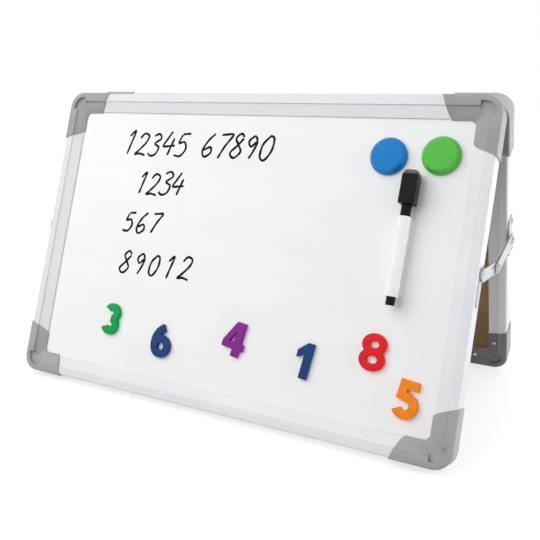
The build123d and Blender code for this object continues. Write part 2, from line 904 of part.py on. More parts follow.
def marker_barrel():
    top = -neck_length
    tube = stack([(barrel_diameter / 2, top - barrel_length, top)])
    tube = fillet(tube.edges().filter_by(GeomType.CIRCLE), barrel_end_round)
    return tube - stack([(barrel_bore, top - barrel_length - 1, top + 1)])


def marker_tail():
    """Ribbed end plug pushed into the barrel."""
    top = -neck_length - barrel_length
    tail = stack([
        (barrel_bore - hole_play, top, top + plug_depth),
        (tail_diameter / 2, top - tail_length, top),
    ])
    return tail - ribs(tail_diameter / 2, top - tail_length + neck_groove, top - neck_groove)


# ---------------------------------------------------------------------------
# Foam figures
# ---------------------------------------------------------------------------
def ring(centre, wide, high, half):
    """Oval band of even stroke."""
    band = Ellipse(wide + half, high + half) - Ellipse(wide - half, high - half)
    return Pos(*centre) * band


def figure_sketch(digit):
    """Plain numeral of even stroke, centred on its cell."""
    top = figure_height / 2
    half = figure_stroke / 2
    crown = top - half
    waist = figure_stroke * 0.06
    upper_radius = (crown - waist) / 2
    lower_radius = (crown + waist) / 2
    upper = (0, crown - upper_radius)
    lower = (0, lower_radius - crown)
    slant = figure_stroke * 0.13

    if digit == "3":
        arcs = [CenterArc(upper, upper_radius, -90, 245), CenterArc(lower, lower_radius, -155, 245)]
        return trace(arcs[0], figure_stroke) + trace(arcs[1], figure_stroke)
    if digit == "8":
        slim = half * 0.86
        swell = 1.22
        step = half - slim
        high, low = upper_radius + step / 2, lower_radius + step / 2
        rings = ring((0, top - slim - high), high * swell, high, slim)
        return rings + ring((0, slim + low - top), low * swell, low, slim)
    if digit == "6":
        bowl = crown * 0.6
        stem = crown * 1.43
        centre = (0, bowl - crown)
        lean_in = math.degrees(math.asin((crown - centre[1]) / stem))
        arc = CenterArc((stem - bowl, centre[1]), stem, 180 - lean_in, lean_in)
        return ring(centre, bowl, bowl, half) + trace(arc, figure_stroke)
    if digit == "5":
        bowl = crown * 0.59
        centre = (-figure_stroke * 0.08, bowl - crown)
        hook = CenterArc(centre, bowl, -150, 275)
        edge = centre[0] - bowl - half * 0.1
        foot = -figure_stroke * 0.07
        roof = Pos((edge + bowl) / 2, crown) * Rectangle(bowl - edge, figure_stroke)
        stem = polygon([(edge, top), (edge + figure_stroke, top),
                        (edge + figure_stroke - slant, foot), (edge - slant, foot)])
        return roof + stem + trace(hook, figure_stroke)
    if digit == "4":
        left = figure_stroke * 0.1
        right = left + figure_stroke
        arm = top * 0.7
        shelf = -top * 0.19
        under = -top * 0.6
        outline = polygon([
            (left - 2 * slant, top), (right, top), (right, shelf), (arm, shelf), (arm, under),
            (right, under), (right, -top), (left, -top), (left, under), (-arm, under),
            (-arm, shelf - slant / 2),
        ])
        return outline - polygon([(left, top * 0.375), (left, shelf), (-top * 0.275, shelf)])
    # a one: upright bar with a flag
    right = figure_stroke * 0.85
    left = right - figure_stroke
    return polygon([(right, top), (right, -top), (left, -top), (left, top * 0.32),
                    (-top * 0.5, top * 0.08), (-top * 0.5, top * 0.5), (left + 1.5 * slant, top)])


def figure(digit, right, drop, tilt):
    """Flat foam numeral with its magnetic back on the writing sheet."""
    body = extrude(figure_sketch(digit), amount=figure_thickness)
    return on_sheet(right, drop).location * Rot(0, 0, -tilt) * body


# ---------------------------------------------------------------------------
# Assembly: every node is written where it stands with the easel open
# ---------------------------------------------------------------------------
rails = frame_rails()
plates = panel_plates()
cap = corner_cap()
floor = below_floor()
caps = {}
for level in ("bottom", "top"):
    for side in ("left", "right"):
        shaped = to_corner(cap, side, level)
        caps[f"{level}_{side}"] = shaped - floor if level == "bottom" else shaped

screw_groups = []
for level in ("bottom", "top"):
    for side in ("left", "right"):
        screw_groups += [to_corner(screw, side, level) for screw in cap_screws()]

leaf_holes = leaf_screw_holes()
pivot_holes = front_side_holes()
bracket_holes = rear_side_holes()
side_holes = {"front": pivot_holes, "rear": bracket_holes}
odd_fingers = range(0, knuckle_count, 2)
even_fingers = range(1, knuckle_count, 2)
fingers = {"front": odd_fingers, "rear": even_fingers}

for board, place in (("front", front_place), ("rear", rear_place)):
    # turning the rear board round swaps its left and right
    name_of = {"left": "left", "right": "right"}
    if board == "rear":
        name_of = {"left": "right", "right": "left"}
    right_rail = rails["right"] - side_holes[board]
    left_rail = rails["left"] - mirror(side_holes[board], about=Plane.YZ)
    save(f"{board}_top_rail", rails["top"] - leaf_holes, place)
    save(f"{board}_bottom_rail", rails["bottom"], place)
    save(f"{board}_{name_of['left']}_rail", left_rail, place)
    save(f"{board}_{name_of['right']}_rail", right_rail, place)
    for corner, shape in caps.items():
        level, side = corner.split("_")
        save(f"{board}_{level}_{name_of[side]}_cap", shape, place)
    for plate_name, shape in plates.items():
        save(f"{board}_{plate_name}", shape, place)
    save(f"{board}_cap_screws", Compound(screw_groups), place)
    save(f"{board}_hinge_screws", Compound(leaf_screws()), place)
    for side, middle in (("left", -hinge_spread), ("right", hinge_spread)):
        save(f"{board}_{name_of[side]}_hinge_leaf", leaf(middle, fingers[board]), place)

save("hinge_pins", Compound([hinge_pin(-hinge_spread), hinge_pin(hinge_spread)]), front_place)

save("front_stay_plates", pair([front_plate()]), front_place)
save("front_stay_screws", pair(front_plate_screws()), front_place)
save("front_stay_rivets", pair([front_pivot_rivet()]))
save("rear_stay_brackets", pair([rear_bracket()]), rear_place)
save("rear_stay_screws", pair(bracket_screws()), rear_place)
right_stay = {
    "lower_link": lower_link(),
    "upper_link": upper_link(),
    "stay_pins": Compound([elbow_rivet(), slide_pin()]),
}
for piece_name, shape in right_stay.items():
    save(f"right_{piece_name}", shape)
    save(f"left_{piece_name}", mirror(shape, about=Plane.YZ))

for colour, share in holder_shares.items():
    seat = on_sheet(*loose_place(*share, holder_diameter / 2, holder_diameter / 2)).location
    save(f"{colour}_holder_shell", seat * holder_shell(), front_place)
    save(f"{colour}_holder_magnet", seat * holder_magnet(), front_place)

marker_pieces = {
    "marker_cap": marker_cap(),
    "marker_eraser": marker_eraser(),
    "marker_magnet": marker_magnet(),
    "marker_neck": marker_neck(),
    "marker_nib": marker_nib(),
    "marker_barrel": marker_barrel(),
    "marker_tail": marker_tail(),
}
for piece_name, shape in marker_pieces.items():
    save(piece_name, marker_place * shape, front_place)

for piece_name, (digit, across, down, tilt) in figure_shares.items():
    right, drop = loose_place(across, down, figure_height / 2, figure_height / 2)
    save(piece_name, figure(digit, right, drop, tilt), front_place)
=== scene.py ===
"""Finish of the folding whiteboard easel: materials, small fittings, loose pieces and light."""
import json
import math
import bmesh
import bpy
import numpy as np
from mathutils import Matrix, Vector


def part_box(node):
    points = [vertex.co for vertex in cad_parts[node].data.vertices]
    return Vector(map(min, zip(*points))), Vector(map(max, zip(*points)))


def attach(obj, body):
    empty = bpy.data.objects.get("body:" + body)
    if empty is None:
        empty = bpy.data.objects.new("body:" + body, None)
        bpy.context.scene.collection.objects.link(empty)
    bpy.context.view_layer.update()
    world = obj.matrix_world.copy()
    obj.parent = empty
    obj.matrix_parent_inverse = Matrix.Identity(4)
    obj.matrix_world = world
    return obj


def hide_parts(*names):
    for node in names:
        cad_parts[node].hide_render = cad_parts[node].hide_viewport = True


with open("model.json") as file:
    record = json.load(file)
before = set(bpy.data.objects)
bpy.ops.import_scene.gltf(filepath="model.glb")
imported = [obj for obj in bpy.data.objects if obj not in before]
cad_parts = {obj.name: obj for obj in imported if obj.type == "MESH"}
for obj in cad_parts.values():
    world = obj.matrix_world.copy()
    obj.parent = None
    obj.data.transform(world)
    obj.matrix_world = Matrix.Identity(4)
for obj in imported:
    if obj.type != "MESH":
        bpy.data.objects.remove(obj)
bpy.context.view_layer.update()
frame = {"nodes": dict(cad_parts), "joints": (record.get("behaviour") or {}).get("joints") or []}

# ---------------------------------------------------------------------------
# Sizes and places, in millimetres unless a name or comment says otherwise
# ---------------------------------------------------------------------------
MM = 0.001
lean = math.radians(21.2)
board_leans = {"front": lean, "rear": -lean}
board_width = 457.0
board_height = 302.0
panel_setback = 9.2

# holders: places are right of the written face's middle and below the board's top
holder_places = {"blue": (138.54, 52.99), "green": (183.80, 50.49)}
holder_radius = 16.5
holder_top_radius = 13.6
holder_height = 6.6
holder_crown = 0.3
holder_rim_height = holder_height * 0.42
holder_corner_radii = [0.5, 2.9, 2.6]

# marker: place of its cap's mouth as for the holders, clockwise tilt, axis off the face
marker_mouth = (163.44, 95.0)
marker_tilt = math.radians(1.1)
marker_stand_off = 9.2

cap_length = 25.0
cap_width = 14.0
cap_corner = 2.6
cap_edge = 0.6
bore_width = 9.0
bore_corner = 4.49
# share of the bore's width, and height over the mouth, from the bore's end to the mouth
bore_rings = [(0.98, 20.0), (1.0, 19.6), (1.0, 0.3), (1.06, 0.0)]

# felt pad: draw-in from the cap's walls and height over its foot
felt_rings = [(0.8, 0.0), (0.6, 0.35), (0.75, 1.2), (1.5, 2.6), (2.1, 3.5), (2.9, 3.9), (4.2, 3.98)]
felt_gap = 0.02
felt_corner_share = 0.4

# the neck has a spigot at each end, one in the barrel and one in the cap under the nose
neck_length = 10.2
neck_radius = 4.4
spigot_radius = 4.45
spigot_length = 8.5
spigot_chamfer = 0.3
nose_root_radius = 3.95
nose_tip_radius = 3.2
nose_end = 12.5
nib_hole_radius = 2.05
nib_hole_depth = 0.5

rib_pitch = 1.9
rib_groove = 0.8
rib_depth = 0.4
rib_chamfer = 0.25

barrel_length = 67.6
barrel_radius = 5.5
barrel_mouth_radius = neck_radius + 0.35
barrel_shoulder = 1.2
barrel_corner_radii = [0.7, 1.6, 0.3]

tail_length = 7.2
tail_radius = 4.0
tail_end_radius = 3.4
tail_plug_radius = 3.9
tail_plug_length = 0.5

# ink: section points are a share of the half width and a height over the face; stops are
# lengths along a stroke, close together at its ends and evenly spaced between the margins
ink_width = 2.4
ink_section = [(-1, 0.01), (-0.8, 0.06), (0.8, 0.06), (1, 0.01)]
ink_end_stops = np.array([0.02, 0.06, 0.15, 0.3, 0.5, 0.75])
ink_margins = (1.0, 0.99)
ink_stop_spacing = 0.55
ink_end_least = 0.02
ink_waver_share = 0.10
ink_waver_rate = 0.55
# digits: lean, and how far and how fast their height and size change along a row
pen_lean = 0.22
wobble_height = 0.7
wobble_rate = 2.3
size_share = 0.05
size_rate = 1.7

# corner caps: how far their inner edge moves outward, and the distances in from the frame's
# edge over which that shift rises and falls
cap_slide = 1.5
slide_rise = (16.0, 21.5)
slide_fall = (27.5, 30.0)

# eased copies: points merged, faces counted as flat, and edges that get a bevel
weld_distance = 0.002
flat_angle = math.radians(1.0)
bevel_angle = math.radians(30.0)

# floor and light: metres, watts, and levels where 1 is white
surround_light = 0.46
floor_reach = 6.0
floor_tone = 0.36
floor_lift_distances = (0.30, 1.10)
floor_lift_levels = (0.69, 0.98)
# name, place, target, size of a side, power
softboxes = [
    ("key_softbox", (-0.9, -1.1, 1.35), (-0.05, -0.05, 0.15), 2.0, 29.5),
    ("corner_softbox", (-1.25, -0.85, 1.05), (-0.22, 0, 0.28), 0.6, 1.6),
    ("side_softbox", (1.6, 0.2, 0.6), (0.2, 0, 0.15), 1.0, 20.0),
    ("rear_softbox", (0.5, 1.6, 1.3), (0.0, 0.15, 0.15), 1.6, 16.0),
]

camera_place = (333.65, -614.5, 306.5)
camera_yaw = math.radians(28.339)
camera_pitch = math.radians(15.695)
camera_roll = math.radians(-0.6254)
# nearest distance it sees, in metres
camera_near = 0.01
# the focal length is 695.67 pixels of a render that is 540 wide
camera_sensor = 36.0
camera_lens = camera_sensor * (695.67 / 540.0)

# ---------------------------------------------------------------------------
# Places on the front board
# ---------------------------------------------------------------------------
holder_lift = next(joint for joint in frame["joints"] if joint["name"] == "blue_holder_lift")
outward = Vector(holder_lift["axis"]).normalized()
across = Vector((1, 0, 0))
upward = outward.cross(across)
sheet_low, sheet_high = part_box("front_writing_sheet")
# the leaning sheet's box is height sin + thickness cos deep and height cos + thickness sin high
box_depth = sheet_high[1] - sheet_low[1]
box_height = sheet_high[2] - sheet_low[2]
sheet_height = (box_height * math.cos(lean) - box_depth * math.sin(lean)) / math.cos(2 * lean)
# its written face reaches the lowest y at the bottom edge and the highest z at the top edge
sheet_top = Vector((0, sheet_low[1] + sheet_height * math.sin(lean), sheet_high[2]))
board_top = sheet_top + upward * panel_setback * MM


def on_board(right, drop, out=0.0):
    """Point on the written face: right of its middle, below the board's top, out of the face."""
    return board_top + across * right * MM - upward * drop * MM + outward * out * MM


def board_frame(right, drop):
    """Matrix that carries x right, y up and z out in millimetres onto the written face."""
    turn = Matrix((across * MM, upward * MM, outward * MM)).transposed().to_4x4()
    turn.translation = on_board(right, drop)
    return turn


# ---------------------------------------------------------------------------
# Meshes from numpy grids
# ---------------------------------------------------------------------------
def carried(points, matrix):
    """Points of an (n, 3) array carried by a 4x4 matrix."""
    table = np.array(matrix)
    return points @ table[:3, :3].T + table[:3, 3]


def shown(name, data):
    """Object at the origin of the scene that holds the data."""
    new_object = bpy.data.objects.new(name, data)
    bpy.context.scene.collection.objects.link(new_object)
    return new_object


def add_piece(name, points, faces, material, body, smooth_angle=40.0):
    """Smooth piece with outward faces that rides on a body; edges over the angle stay sharp."""
    mesh = bpy.data.meshes.new(name)
    mesh.from_pydata(points.tolist(), [], faces)
    mesh.validate()
    mesh.shade_smooth()
    mesh.set_sharp_from_angle(angle=math.radians(smooth_angle))
    mesh.materials.append(material)
    piece = shown(name, mesh)
    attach(piece, body)
    return piece


def capped_tube(rings, first_end, last_end):
    """Points and faces of a closed surface through rings of equal count, each (n, 3).

    Quads join each ring to the next, and a fan from a middle point closes each end.
    """
    rings = np.asarray(rings)
    rows, count = rings.shape[:2]
    points = np.concatenate([rings.reshape(-1, 3), [first_end], [last_end]])
    step = np.arange(count)
    after = (step + 1) % count
    start = np.arange(rows - 1)[:, None] * count
    quads = np.stack([start + step, start + after, start + count + after, start + count + step], axis=-1)
    first_middle = np.full(count, rows * count)
    last_row = (rows - 1) * count
    fans = np.stack([np.stack([first_middle, after, step], axis=-1),
                     np.stack([first_middle + 1, last_row + step, last_row + after], axis=-1)], axis=1)
    return points, quads.reshape(-1, 4).tolist() + fans.reshape(-1, 3).tolist()


def turned(profile, around=72):
    """Surface of revolution about z of (radius, height) points that start and end on the axis.

    The point at angle t is (radius cos t, radius sin t, height).
    """
    profile = np.array(profile, dtype=float)
    radius = profile[1:-1, :1]
    height = profile[1:-1, 1:]
    angle = np.linspace(0, 2 * np.pi, around, endpoint=False)
    rings = np.broadcast_arrays(radius * np.cos(angle), radius * np.sin(angle), height)
    return capped_tube(np.stack(rings, axis=-1), [0, 0, profile[0, 1]], [0, 0, profile[-1, 1]])


def lofted(rings):
    """Closed surface through rings of points, ended by flat fans from each end ring's middle."""
    return capped_tube(rings, rings[0].mean(0), rings[-1].mean(0))


def rounded(points, radii, steps=6):
    """Profile through corner points with each inner corner rounded by an arc of its radius.

    The arc's centre lies on the corner's bisector, radius / sin(half angle) from the corner.
    """
    corners = [np.array(point, dtype=float) for point in points]
    path = [corners[:1]]
    for before, corner, after, radius in zip(corners, corners[1:], corners[2:], radii):
        back = (before - corner) / np.linalg.norm(before - corner)
        ahead = (after - corner) / np.linalg.norm(after - corner)
        half = math.acos(np.clip(back @ ahead, -1, 1)) / 2
        reach = radius / math.tan(half)
        bisector = (back + ahead) / np.linalg.norm(back + ahead)
        centre = corner + bisector * radius / math.sin(half)
        start = corner + back * reach - centre
        end = corner + ahead * reach - centre
        begin = math.atan2(start[1], start[0])
        turn = math.atan2(start[0] * end[1] - start[1] * end[0], start @ end)
        angle = begin + turn * np.arange(steps + 1) / steps
        path.append(centre + radius * np.stack([np.cos(angle), np.sin(angle)], axis=-1))
    path.append(corners[-1:])
    return np.concatenate(path)


# ---------------------------------------------------------------------------
# Materials
# ---------------------------------------------------------------------------
class Finish:
    """A Principled material with a few nodes on Object coordinates."""

    def __init__(self, name, colour, roughness, **sockets):
        self.material = bpy.data.materials.new(name)
        self.material.use_nodes = True
        self.tree = self.material.node_tree
        self.shader = self.tree.nodes["Principled BSDF"]
        self.set("Base Color", (*colour, 1.0))
        self.set("Roughness", roughness)
        for socket, value in sockets.items():
            self.set(socket.replace("_", " "), value)
        self.place = self.add("ShaderNodeTexCoord").outputs["Object"]

    def set(self, socket, value):
        """Plain value on one of the shader's sockets."""
        self.shader.inputs[socket].default_value = value

    def link(self, output, socket):
        """Node output joined to one of the shader's sockets."""
        self.tree.links.new(output, self.shader.inputs[socket])

    def add(self, kind, inputs=(), **attributes):
        """New node with its attributes, and its inputs linked or set."""
        node = self.tree.nodes.new(kind)
        for name, value in attributes.items():
            setattr(node, name, value)
        for socket, value in dict(inputs).items():
            if isinstance(value, bpy.types.NodeSocket):
                self.tree.links.new(value, node.inputs[socket])
            else:
                node.inputs[socket].default_value = value
        return node

    def mapped(self, scale, turn=(0.0, 0.0, 0.0)):
        """Object coordinates turned and stretched, for grain that runs one way."""
        node = self.add("ShaderNodeMapping", {"Vector": self.place, "Rotation": turn, "Scale": scale})
        return node.outputs["Vector"]

    def noise(self, scale, detail=3.0, roughness=0.55, vector=None):
        """Cloudy value from 0 to 1."""
        node = self.add("ShaderNodeTexNoise", {
            "Vector": vector or self.place, "Scale": scale, "Detail": detail,
            "Roughness": roughness})
        return node.outputs["Fac"]

    def cells(self, scale):
        """Distance from the middle of small irregular cells."""
        node = self.add("ShaderNodeTexVoronoi", {"Vector": self.place, "Scale": scale})
        return node.outputs["Distance"]

    def tint(self, value, *stops):
        """Colour that follows a value through a ramp of (position, colour) stops."""
        node = self.add("ShaderNodeValToRGB", {"Fac": value})
        elements = node.color_ramp.elements
        while len(elements) < len(stops):
            elements.new(0.5)
        for element, (position, colour) in zip(elements, stops):
            element.position = position
            element.color = (*colour, 1.0)
        self.link(node.outputs["Color"], "Base Color")

    def gloss(self, value, low, high):
        """Roughness that follows a 0 to 1 value from low to high."""
        node = self.add("ShaderNodeMapRange", {"Value": value, "To Min": low, "To Max": high})
        self.link(node.outputs["Result"], "Roughness")

    def relief(self, height, strength, depth):
        """Bump from a value, with its depth in metres."""
        node = self.add("ShaderNodeBump", {"Height": height, "Strength": strength, "Distance": depth})
        self.link(node.outputs["Normal"], "Normal")


def shade(colour, factor):
    """Colour made darker or lighter."""
    return tuple(channel * factor for channel in colour)


def aluminium(name, scale, board_lean):
    """Satin silver extrusion with fine draw lines along the direction of the smallest scale."""
    finish = Finish(name, (0.70, 0.71, 0.73), 0.34, Metallic=0.45)
    lines = finish.noise(1.0, detail=4.0, roughness=0.6, vector=finish.mapped(scale, (board_lean, 0, 0)))
    cloud = finish.noise(22.0)
    finish.tint(cloud, (0.3, (0.68, 0.69, 0.715)), (0.7, (0.72, 0.73, 0.745)))
    finish.gloss(lines, low=0.28, high=0.44)
    finish.relief(lines, strength=0.10, depth=0.00006)
    return finish.material


def moulded(name, colour, roughness, **sockets):
    """Injection moulded plastic with a fine spark-eroded texture."""
    finish = Finish(name, colour, roughness, **sockets)
    grit = finish.noise(2600.0, detail=2.0, roughness=0.5)
    cloud = finish.noise(40.0, detail=4.0, roughness=0.6)
    finish.tint(cloud, (0.25, shade(colour, 0.94)), (0.75, shade(colour, 1.06)))
    finish.gloss(cloud, low=roughness - 0.05, high=roughness + 0.06)
    finish.relief(grit, strength=0.35, depth=0.00005)
    return finish.material


def enamel(name):
    """White dry-wipe enamel: hard gloss, faint wiped marks and orange peel."""
    finish = Finish(name, (0.86, 0.865, 0.87), 0.16, Coat_Weight=0.5, Coat_Roughness=0.08)
    sweep = finish.mapped((1.0, 2.6, 2.6), (lean, 0, 0.35))
    wiped = finish.noise(9.0, detail=5.0, roughness=0.62, vector=sweep)
    peel = finish.noise(420.0, detail=2.0)
    finish.tint(wiped, (0.32, (0.845, 0.85, 0.855)), (0.62, (0.875, 0.878, 0.88)))
    finish.gloss(wiped, low=0.12, high=0.24)
    finish.relief(peel, strength=0.05, depth=0.00003)
    return finish.material


def hardboard(name):
    """Brown pressed fibre board with short pale and dark fibres."""
    finish = Finish(name, (0.38, 0.24, 0.11), 0.62)
    fibre = finish.noise(260.0, detail=6.0, roughness=0.75, vector=finish.mapped((1.0, 3.0, 0.55)))
    blotch = finish.noise(14.0, detail=4.0, roughness=0.6)
    both = finish.add("ShaderNodeMath", {0: fibre, 1: blotch}, operation="MULTIPLY").outputs[0]
    finish.tint(both, (0.12, (0.30, 0.175, 0.070)), (0.30, (0.52, 0.33, 0.14)),
                (0.48, (0.70, 0.49, 0.25)))
    finish.gloss(fibre, low=0.5, high=0.75)
    finish.relief(fibre, strength=0.5, depth=0.0002)
    return finish.material


def plated(name, colour, roughness):
    """Zinc plate with faint spangle and fine rolling marks."""
    finish = Finish(name, colour, roughness, Metallic=0.85)
    spangle = finish.cells(900.0)
    cloud = finish.noise(420.0)
    finish.tint(cloud, (0.3, shade(colour, 0.95)), (0.7, shade(colour, 1.04)))
    finish.gloss(spangle, low=roughness - 0.04, high=roughness + 0.10)
    finish.relief(cloud, strength=0.08, depth=0.00002)
    return finish.material


def foam(name, colour):
    """Dyed closed-cell foam with a skin of tiny pores."""
    finish = Finish(name, colour, 0.55, Specular_IOR_Level=0.2)
    pores = finish.cells(1500.0)
    cloud = finish.noise(120.0, detail=4.0, roughness=0.6)
    finish.tint(cloud, (0.3, shade(colour, 0.9)), (0.7, shade(colour, 1.08)))
    finish.gloss(cloud, low=0.45, high=0.65)
    finish.relief(pores, strength=0.3, depth=0.0001)
    return finish.material


def felt(name, colour):
    """Pressed felt with a matted nap."""
    finish = Finish(name, colour, 0.95, Sheen_Weight=0.3)
    nap = finish.noise(900.0, detail=6.0, roughness=0.8)
    finish.tint(nap, (0.3, shade(colour, 0.55)), (0.7, shade(colour, 1.5)))
    finish.relief(nap, strength=0.8, depth=0.0003)
    return finish.material


def glossy(name, colour, roughness=0.12):
    """Polished coloured plastic with faint flow marks."""
    finish = Finish(name, colour, roughness, Specular_IOR_Level=0.28)
    cloud = finish.noise(60.0, detail=4.0, roughness=0.6)
    finish.tint(cloud, (0.25, shade(colour, 0.94)), (0.75, shade(colour, 1.05)))
    finish.gloss(cloud, low=roughness * 0.7, high=roughness * 1.5)
    finish.relief(cloud, strength=0.05, depth=0.0001)
    return finish.material


def ink(name):
    """Dry-wipe ink: near black, paler where the pen ran dry."""
    finish = Finish(name, (0.008, 0.008, 0.010), 0.45, Specular_IOR_Level=0.1)
    streak = finish.noise(700.0, detail=4.0, roughness=0.7)
    finish.tint(streak, (0.5, (0.005, 0.005, 0.007)), (0.9, (0.02, 0.02, 0.023)))
    finish.gloss(streak, low=0.25, high=0.5)
    return finish.material


def rails(direction, scale):
    """Aluminium of both boards' rails that run one way."""
    return {board: aluminium(f"{board}_rail_{direction}", scale, board_lean)
            for board, board_lean in board_leans.items()}


rail_x = rails("x", (2.0, 900.0, 900.0))
rail_z = rails("z", (900.0, 900.0, 2.0))
grey_cap = moulded("cap_grey_plastic", (0.315, 0.325, 0.33), 0.42)
white_enamel = enamel("white_enamel")
core_foam = moulded("core_foam_board", (0.80, 0.80, 0.78), 0.8)
brown_board = hardboard("brown_hardboard")
zinc = plated("zinc_plate", (0.52, 0.535, 0.565), 0.30)
screw_zinc = plated("screw_plate", (0.42, 0.43, 0.445), 0.24)
ferrite = moulded("ferrite_black", (0.035, 0.035, 0.037), 0.6)
black_plastic = moulded("marker_black_plastic", (0.010, 0.010, 0.012), 0.30, Specular_IOR_Level=0.12)
white_plastic = glossy("marker_white_plastic", (0.88, 0.885, 0.895), 0.18)
grey_felt = felt("eraser_felt", (0.10, 0.10, 0.095))
black_felt = felt("nib_felt", (0.012, 0.012, 0.012))
blue_gloss = glossy("blue_gloss_plastic", (0.0, 0.205, 0.58))
green_gloss = glossy("green_gloss_plastic", (0.095, 0.50, 0.060))
foams = {
    "green": foam("green_foam", (0.0, 0.34, 0.075)),
    "navy": foam("navy_foam", (0.013, 0.05, 0.17)),
    "purple": foam("purple_foam", (0.22, 0.022, 0.26)),
    "red": foam("red_foam", (0.72, 0.015, 0.022)),
    "orange": foam("orange_foam", (0.90, 0.24, 0.012)),
}
black_ink = ink("black_ink")

single_finishes = {
    "blue_holder_shell": blue_gloss, "green_holder_shell": green_gloss,
    "marker_cap": black_plastic, "marker_neck": black_plastic, "marker_tail": black_plastic,
    "marker_barrel": white_plastic, "marker_eraser": grey_felt, "marker_nib": black_felt,
}


def node_material(node_name):
    """Finish of a CAD node, from its name."""
    first_word = node_name.split("_")[0]
    if node_name in single_finishes:
        return single_finishes[node_name]
    if node_name.endswith(("top_rail", "bottom_rail")):
        return rail_x[first_word]
    if node_name.endswith("_rail"):
        return rail_z[first_word]
    if node_name.endswith("_figure"):
        return foams[first_word]
    if node_name.endswith("_cap"):
        return grey_cap
    if node_name.endswith("_writing_sheet"):
        return white_enamel
    if node_name.endswith("_foam_core"):
        return core_foam
    if node_name.endswith("_backing_board"):
        return brown_board
    if node_name.endswith("_magnet"):
        return ferrite
    if node_name.endswith(("screws", "rivets", "pins")):
        return screw_zinc
    return zinc


for node_name, node in frame["nodes"].items():
    for material_slot in node.material_slots:
        material_slot.material = node_material(node_name)

# ---------------------------------------------------------------------------
# Round holders
# ---------------------------------------------------------------------------
def holder(colour, material):
    """Turned button: upright rim, soft shoulder, slightly crowned top."""
    corners = [(0, 0), (holder_radius, 0), (holder_radius, holder_rim_height),
               (holder_top_radius, holder_height - holder_crown), (0, holder_height)]
    points, faces = turned(rounded(corners, holder_corner_radii, steps=10), around=96)
    right, drop = holder_places[colour]
    points = carried(points, board_frame(right, drop))
    piece = add_piece(f"{colour}_holder_button", points, faces, material, f"{colour}_holder")
    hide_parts(f"{colour}_holder_shell")


holder("blue", blue_gloss)
holder("green", green_gloss)

# ---------------------------------------------------------------------------
# Marker. Heights are measured along its axis from the mouth of the cap.
# ---------------------------------------------------------------------------
marker_up = upward * math.cos(marker_tilt) + across * math.sin(marker_tilt)
marker_right = across * math.cos(marker_tilt) - upward * math.sin(marker_tilt)
marker_turn = Matrix((marker_right * MM, -outward * MM, marker_up * MM)).transposed().to_4x4()
marker_turn.translation = on_board(*marker_mouth, marker_stand_off)


def marker_piece(name, profile, material, body, slot, *nodes):
    """Turned part of the marker."""
    points, faces = turned(profile, around=64)
    piece = add_piece(name, carried(points, marker_turn), faces, material, body, smooth_angle=50.0)
    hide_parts(*nodes)


def ribbed(radius, low, high):
    """Profile points of a grip with grooves at an even pitch, from low to high.

    Each groove is half as wide at its floor as at its mouth.
    """
    points = [(radius - rib_chamfer, low), (radius, low + rib_chamfer)]
    for level in np.arange(low + rib_pitch / 2, high - rib_groove, rib_pitch):
        points += [(radius, level - rib_groove / 2), (radius - rib_depth, level - rib_groove / 4),
                   (radius - rib_depth, level + rib_groove / 4), (radius, level + rib_groove / 2)]
    return points + [(radius, high - rib_chamfer), (radius - rib_chamfer, high)]


def rounded_square(width, corner, height, count=96):
    """Ring of points at a height round a square with arcs at its corners, evenly spaced.

    Each quarter is one side and then a quarter circle about the corner's centre.
    """
    side = width / 2 - corner
    straight = 2 * side
    arc = corner * np.pi / 2
    travel = np.linspace(0, 1, count // 4, endpoint=False) * (straight + arc)
    on_side = np.clip(travel, 0, straight) - side
    angle = np.clip(travel - straight, 0, arc) / corner
    x = side + corner * np.cos(angle)
    y = on_side + corner * np.sin(angle)
    turn = np.arange(4)[:, None] * np.pi / 2
    ring = np.stack([x * np.cos(turn) - y * np.sin(turn), x * np.sin(turn) + y * np.cos(turn)], axis=-1)
    return np.column_stack([ring.reshape(-1, 2), np.full(count, height)])


def cap_wall_ring(inset, height):
    """Outline of the cap's walls drawn in by an inset."""
    return rounded_square(cap_width - 2 * inset, cap_corner - inset, height)


def marker_cap():
    """Square cap: bore, rounded mouth, straight walls, eased top edge.

    With the edge e and a from 0 to 90 degrees, the mouth's walls are drawn in by e (1 - sin a)
    at height e (1 - cos a), and the top's by e (1 - cos a) at e (1 - sin a) below the top.
    """
    rings = [rounded_square(bore_width, bore_corner, height) * (share, share, 1)
             for share, height in bore_rings]
    eases = [(cap_edge * (1 - math.sin(angle)), cap_edge * (1 - math.cos(angle)))
             for angle in np.linspace(0, math.pi / 2, 6)]
    rings += [cap_wall_ring(by_sine, by_cosine) for by_sine, by_cosine in eases]
    rings += [cap_wall_ring(by_cosine, cap_length - by_sine) for by_sine, by_cosine in eases]
    points, faces = lofted(rings)
    piece = add_piece("marker_cap_block", carried(points, marker_turn), faces, black_plastic,
                      "marker_cap", smooth_angle=50.0)
    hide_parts("marker_cap")


def marker_eraser():
    """Felt pad on the cap that draws in to a softly crowned top."""
    low = cap_length + felt_gap
    rings = [rounded_square(cap_width - 2 * inset, cap_corner - inset * felt_corner_share, low + rise)
             for inset, rise in felt_rings]
    points, faces = lofted(rings)
    piece = add_piece("marker_felt_pad", carried(points, marker_turn), faces, grey_felt,
                      "marker_cap", smooth_angle=60.0)
    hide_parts("marker_eraser")


